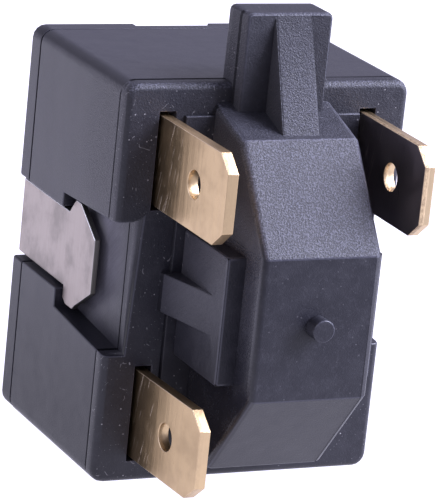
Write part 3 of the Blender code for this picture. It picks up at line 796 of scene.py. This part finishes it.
@dataclass(frozen=True)
class PalePaper:
    """Plain pale sheet that is lit from below as well, so that it stays even under the relay.

    Attributes:
        colour: The sheet.
        glow: The light from below.
        glow_strength: Its strength.
        behind_lift: How much brighter it is behind the relay.
        behind: The distances over which that sets in, in millimetres.
        front_dim: How much dimmer it is in front of the relay.
        front: The depths over which that sets in, in millimetres.
    """

    colour: Colour = (0.08, 0.08, 0.083)
    glow: Colour = (1.00, 0.975, 1.18)
    glow_strength: float = 1.17
    behind_lift: float = 0.06
    behind: Span = (15.0, 70.0)
    front_dim: float = 0.56
    front: Span = (-32.0, -60.0)

    def build(self) -> bpy.types.Material:
        """Build the material.

        Returns:
            The material of the floor, which is brighter behind the relay and dimmer towards the camera.
        """
        graph = Graph("pale_paper")
        point = graph.place()
        side, depth, _ = graph.parts(point)
        behind = (depth * 0.89 - side * 0.45).above(*self.behind)
        front = depth.above(*self.front)
        fibre = graph.noise(point, 0.05, 2.0) * 0.02 + 0.99
        glow = behind * self.behind_lift - front * self.front_dim + 1.0
        return graph.finish({
            "Base Color": graph.tint(self.colour, fibre),
            "Roughness": 0.9,
            "Specular IOR Level": 0.1,
            "Emission Color": graph.tint(self.glow, glow),
            "Emission Strength": self.glow_strength,
        })


@dataclass
class Finishes:
    """Every finish of the relay, built once each."""

    made: dict[Slot, bpy.types.Material] = field(default_factory=dict)

    def build(self) -> "Finishes":
        """Build the materials.

        Returns:
            This object.
        """
        self.made[Slot.MOULDING] = MouldedBlack().build()
        self.made[Slot.BRASS] = RolledMetal(
            Slot.BRASS.value, (0.505, 0.362, 0.200), (0.17, 0.115, 0.080), drag=0.6
        ).build()
        # Clip steel: near-white painted highlight on upper left edges, painted shade on sheared edges.
        self.made[Slot.CLIP_STEEL] = RolledMetal(
            Slot.CLIP_STEEL.value, (0.338, 0.295, 0.272), (0.13, 0.13, 0.12), gloss=0.34, stain_share=0.55,
            scratches=0.3, edge_painted_shade=0.85, edge_painted_highlight=(0.95, 0.95, 0.97)
        ).build()
        self.made[Slot.SPRING_STEEL] = RolledMetal(
            Slot.SPRING_STEEL.value, (0.50, 0.50, 0.50), (0.25, 0.24, 0.24), lines=Axis.Y, gloss=0.26
        ).build()
        self.made[Slot.CERAMIC] = SilveredCeramic().build()
        return self

    def __getitem__(self, slot: Slot) -> bpy.types.Material:
        """The material of a slot."""
        return self.made[slot]


@dataclass(frozen=True)
class EdgeBreak:
    """How the edges of one piece are broken, in millimetres."""

    width: float
    steps: int = 3
    sharper_than: float = math.radians(30)


@dataclass(frozen=True)
class Score:
    """A fine line that runs round a piece: a groove where the height is negative, or else a ridge."""

    point: tuple[float, float, float]
    normal: tuple[float, float, float]
    half_width: float
    height: float


@dataclass
class RefinedPiece:
    """A node of the frame with its facets merged, its edges broken and fine lines added."""

    node: str
    name: str
    slot: Slot
    edge: EdgeBreak
    weld: float = 0.001
    merge: float = 0.0
    flat: float = math.radians(0.6)
    form: Optional[bmesh.types.BMesh] = None

    def start(self, source: bpy.types.Object) -> "RefinedPiece":
        """Take the node's form, weld it and merge the facets of each flat face.

        Args:
            source: The node's object.

        Returns:
            This piece.
        """
        self.form = bmesh.new()
        self.form.from_mesh(source.data)
        bmesh.ops.scale(self.form, vec=(1 / MM,) * 3, verts=self.form.verts)
        for distance in (self.weld, self.merge):
            bmesh.ops.remove_doubles(self.form, verts=self.form.verts, dist=distance)
            bmesh.ops.dissolve_limit(
                self.form, angle_limit=self.flat, verts=self.form.verts, edges=self.form.edges
            )
        for item in self.form.edges:
            if not item.is_convex and item.calc_face_angle(0.0) > self.edge.sharper_than:
                item.smooth = False
        return self

    def soften(self, edge: EdgeBreak, keep: Test) -> "RefinedPiece":
        """Round the sharp edges that lie in one place.

        Args:
            edge: How far they are rounded.
            keep: Says which points lie in that place.

        Returns:
            This piece.
        """
        chosen = [
            item for item in self.form.edges
            if item.is_convex and item.calc_face_angle(0.0) > edge.sharper_than
            and all(keep(vertex.co) for vertex in item.verts)
        ]
        bmesh.ops.bevel(
            self.form, geom=chosen, offset=edge.width, segments=edge.steps, profile=0.5, affect="EDGES"
        )
        LOG.info("%s: %d edges softened", self.name, len(chosen))
        return self

    def break_edges(self) -> "RefinedPiece":
        """Round every sharp edge a little and mark the middle of the new faces.

        Returns:
            This piece.
        """
        layer = self.form.verts.layers.float.new(RIM)
        sheet = self.form.verts.layers.float.new(SHEET)
        for vertex in self.form.verts:
            vertex[sheet] = float(any(face.normal.x < -0.9 for face in vertex.link_faces))
        sharp = [
            item for item in self.form.edges
            if item.is_convex and item.calc_face_angle(0.0) > self.edge.sharper_than
        ]
        made = bmesh.ops.bevel(
            self.form,
            geom=sharp,
            offset=self.edge.width,
            segments=self.edge.steps,
            profile=0.5,
            affect="EDGES",
            clamp_overlap=False,
            miter_outer="ARC",
        )
        new_faces = set(made["faces"])
        for vertex in made["verts"]:
            if vertex.is_valid and all(face in new_faces for face in vertex.link_faces):
                vertex[layer] = 1.0
        return self

    def score(self, line: Score, keep: Test, shade: float = 0.0) -> "RefinedPiece":
        """Cut a groove or raise a ridge where a plane meets the surface.

        Args:
            line: The line's plane, width and height.
            keep: Says which points of the cut belong to the line.
            shade: The rim value that the line's middle gets.

        Returns:
            This piece.
        """
        layer = self.form.verts.layers.float[RIM]
        normal = Vector(line.normal)
        for offset in (-line.half_width, line.half_width, 0.0):
            geometry = list(self.form.verts) + list(self.form.edges) + list(self.form.faces)
            place = Vector(line.point) + normal * offset
            cut = bmesh.ops.bisect_plane(
                self.form, geom=geometry, dist=1e-5, plane_co=place, plane_no=normal
            )
        self.form.normal_update()
        middle = [item for item in cut["geom_cut"] if isinstance(item, bmesh.types.BMVert) and keep(item.co)]
        moves = [(vertex, vertex.normal.copy()) for vertex in middle]
        for vertex, outward in moves:
            vertex.co += (outward - normal * outward.dot(normal)).normalized() * line.height
            vertex[layer] = shade
        return self

    def dress(self, finishes: Finishes) -> bpy.types.Object:
        """Make the object, hide the node that it stands for and give it its finish.

        Args:
            finishes: The built finishes.

        Returns:
            The new object.
        """
        bmesh.ops.scale(self.form, vec=(MM,) * 3, verts=self.form.verts)
        mesh = bpy.data.meshes.new(self.name)
        self.form.to_mesh(mesh)
        self.form.free()
        mesh.shade_smooth()
        mesh.materials.append(finishes[self.slot])
        piece = bpy.data.objects.new(self.name, mesh)
        bpy.context.scene.collection.objects.link(piece)
        weighted = piece.modifiers.new("flat_faces_first", "WEIGHTED_NORMAL")
        weighted.mode = "FACE_AREA"
        weighted.weight = 100
        weighted.keep_sharp = True
        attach(piece, ROOT)
        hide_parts(self.node)
        LOG.info("%s: %d faces for node %s", self.name, len(mesh.polygons), self.node)
        return piece


@dataclass
class Mouldings:
    """The housing and its rear cover."""

    edge: EdgeBreak = EdgeBreak(0.10)
    cover_edge: EdgeBreak = EdgeBreak(0.03, 2)
    notch: EdgeBreak = EdgeBreak(0.18, 3)
    notch_heights: Span = (11.30, 17.28)
    corner: EdgeBreak = EdgeBreak(0.50, 5)
    half_width: float = 10.67
    recess_x: float = 9.07
    height: float = 28.40
    skin: float = 0.03
    parting: Score = Score((0.0, PARTING, 0.0), (0.0, 1.0, 0.0), 0.100, -0.10)
    flash: Score = Score((4.205, 0.0, 0.0), (1.0, 0.0, 0.0), 0.026, 0.030)
    flash_top: float = 18.6
    post_reach: float = 3.6

    def on_parting(self, point: Vector) -> bool:
        """Tell whether a point lies on the outer skin of the box, away from the post.

        Args:
            point: The point, in millimetres.

        Returns:
            Whether it does.
        """
        if abs(point.x) < self.post_reach and point.z > self.height / 2:
            return False
        outer = abs(point.x) > self.half_width - self.skin or abs(abs(point.x) - self.recess_x) < self.skin
        return outer or point.z > self.height - self.skin or point.z < self.skin

    def on_corner(self, point: Vector) -> bool:
        """Whether a point lies where the floor of a side recess meets the front."""
        return abs(abs(point.x) - self.recess_x) < self.skin and abs(point.y + FRONT_DEPTH) < self.skin

    def on_notch(self, point: Vector) -> bool:
        """Whether a point lies on the outer edge of the cover's notches."""
        level = min(abs(point.z - height) for height in self.notch_heights)
        return level < self.skin and abs(point.x) > self.half_width - 0.4

    def on_flash(self, point: Vector) -> bool:
        """Whether a point lies on the face or the lower chamfer of the chamber block."""
        return point.z < self.flash_top and point.y < -FRONT_DEPTH - 1.0

    def build(self, nodes: Mapping[str, bpy.types.Object], finishes: Finishes) -> list[bpy.types.Object]:
        """Build both mouldings.

        Args:
            nodes: The nodes of the frame.
            finishes: The built finishes.

        Returns:
            The new objects.
        """
        housing = RefinedPiece("housing", "housing_moulding", Slot.MOULDING, self.edge, merge=0.07)
        housing.start(nodes["housing"]).soften(self.corner, self.on_corner).break_edges()
        # The flash ridge gets rim value 1, so the moulding's finish draws it lighter: a painted highlight
        # along the ridge.
        housing.score(self.parting, self.on_parting, -1.0).score(self.flash, self.on_flash, 1.0)
        cover = RefinedPiece("rear_cover", "rear_cover_moulding", Slot.MOULDING, self.cover_edge)
        cover.start(nodes["rear_cover"]).soften(self.notch, self.on_notch).break_edges()
        return [housing.dress(finishes), cover.dress(finishes)]


@dataclass
class MetalParts:
    """The clip and the three stamped terminals."""

    clip_edge: EdgeBreak = EdgeBreak(0.08, 2)
    blade_edge: EdgeBreak = EdgeBreak(0.05, 2)

    def build(self, nodes: Mapping[str, bpy.types.Object], finishes: Finishes) -> list[bpy.types.Object]:
        """Build the metal pieces that show.

        Args:
            nodes: The nodes of the frame.
            finishes: The built finishes.

        Returns:
            The new objects.
        """
        plan = [("retaining_clip", "retaining_clip_strip", Slot.CLIP_STEEL, self.clip_edge)]
        for use in ("run", "start", "supply"):
            plan.append((f"{use}_terminal", f"{use}_blade", Slot.BRASS, self.blade_edge))
        made = []
        for node, name, slot, edge in plan:
            piece = RefinedPiece(node, name, slot, edge).start(nodes[node])
            made.append(piece.break_edges().dress(finishes))
        return made


@dataclass
class InnerParts:
    """The pieces inside, which keep their nodes and get their finishes."""

    slots: Mapping[str, Slot] = field(default_factory=lambda: {
        "ptc_disc": Slot.CERAMIC,
        "run_contact_spring": Slot.SPRING_STEEL,
        "start_contact_spring": Slot.SPRING_STEEL,
        "run_grip_spring": Slot.CLIP_STEEL,
        "start_grip_spring": Slot.CLIP_STEEL,
        "run_rivet": Slot.BRASS,
        "supply_rivet": Slot.BRASS,
        "start_rivet": Slot.BRASS,
    })

    def build(self, nodes: Mapping[str, bpy.types.Object], finishes: Finishes) -> None:
        """Give each inner node its finish.

        Args:
            nodes: The nodes of the frame.
            finishes: The built finishes.
        """
        for name, slot in self.slots.items():
            for holder in nodes[name].material_slots:
                holder.material = finishes[slot]
            LOG.info("%s: node kept, finish %s", name, slot.value)


@dataclass(frozen=True)
class SoftBox:
    """One soft light of the studio, in metres and watts."""

    name: str
    place: tuple[float, float, float]
    width: float
    height: float
    power: float
    colour: Colour = (1.0, 1.0, 1.0)


@dataclass
class Studio:
    """Floor, soft light and the camera that stands where the photograph was taken."""

    azimuth: float = math.radians(-26.669)
    elevation: float = math.radians(16.182)
    roll: float = math.radians(5.935)
    distance: float = 238.887
    target: tuple[float, float, float] = (-2.81, -FRONT_DEPTH, 16.601)
    focal: float = 167.664
    sensor: float = 24.0
    floor_half: float = 1.5
    surround: Colour = (0.96, 0.93, 1.22)
    surround_strength: float = 0.62
    lights: tuple[SoftBox, ...] = (
        SoftBox("overhead_softbox", (0.405, -0.195, 0.39), 0.38, 0.36, 11.4, (0.94, 0.95, 1.18)),
        SoftBox("right_softbox", (0.58, -0.26, 0.13), 0.24, 0.24, 2.7, (0.88, 0.92, 1.22)),
        SoftBox("upper_left_strip", (-0.45, -0.02, 0.34), 0.14, 0.14, 0.6),
    )

    def build(self) -> None:
        """Build the floor, the lights, the surround and the camera."""
        self.build_floor()
        self.build_lights()
        self.build_camera()
        view = bpy.context.scene.view_settings
        view.view_transform = "Standard"
        view.look = "None"

    def build_floor(self) -> None:
        """Lay the floor under the relay."""
        form = bmesh.new()
        bmesh.ops.create_grid(form, x_segments=1, y_segments=1, size=self.floor_half)
        mesh = bpy.data.meshes.new("floor")
        form.to_mesh(mesh)
        form.free()
        mesh.materials.append(PalePaper().build())
        floor = bpy.data.objects.new("floor", mesh)
        bpy.context.scene.collection.objects.link(floor)
        LOG.info("floor: %.1f m square", 2 * self.floor_half)

    def build_lights(self) -> None:
        """Hang the lights and set the plain surround."""
        world = bpy.data.worlds.new("surround")
        world.use_nodes = True
        backdrop = world.node_tree.nodes["Background"]
        backdrop.inputs["Color"].default_value = (*self.surround, 1.0)
        backdrop.inputs["Strength"].default_value = self.surround_strength
        bpy.context.scene.world = world
        for box in self.lights:
            light = bpy.data.lights.new(box.name, "AREA")
            light.shape = "RECTANGLE"
            light.size = box.width
            light.size_y = box.height
            light.energy = box.power
            light.color = box.colour
            lamp = bpy.data.objects.new(box.name, light)
            lamp.location = box.place
            aim = Vector(self.target) * MM - lamp.location
            lamp.rotation_euler = aim.to_track_quat("-Z", "Y").to_euler()
            bpy.context.scene.collection.objects.link(lamp)
            LOG.info("%s: %.1f W", box.name, box.power)

    def build_camera(self) -> None:
        """Set the camera up, with its small roll."""
        flat = math.cos(self.elevation)
        east, north = math.sin(self.azimuth), -math.cos(self.azimuth)
        back = Vector((east * flat, north * flat, math.sin(self.elevation)))
        side = Vector((-north, east, 0.0))
        up = back.cross(side)
        right = side * math.cos(self.roll) + up * math.sin(self.roll)
        above = up * math.cos(self.roll) - side * math.sin(self.roll)
        place = (Vector(self.target) + back * self.distance) * MM
        data = bpy.data.cameras.new("camera")
        data.sensor_width = self.sensor
        data.lens = self.focal
        data.clip_start = 0.01
        data.clip_end = 10.0
        camera = bpy.data.objects.new("camera", data)
        camera.matrix_world = Matrix.Translation(place) @ Matrix((right, above, back)).transposed().to_4x4()
        bpy.context.scene.collection.objects.link(camera)
        bpy.context.scene.camera = camera
        LOG.info("camera: %.0f mm away", self.distance)


def main() -> None:
    """Dress the relay and set the studio up."""
    logging.basicConfig(level=logging.INFO, format="%(name)s: %(message)s")
    for item in list(bpy.data.objects):
        bpy.data.objects.remove(item, do_unlink=True)
    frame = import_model()
    nodes = frame["nodes"]
    finishes = Finishes().build()
    Mouldings().build(nodes, finishes)
    MetalParts().build(nodes, finishes)
    InnerParts().build(nodes, finishes)
    Studio().build()


if __name__ == "__main__":
    main()
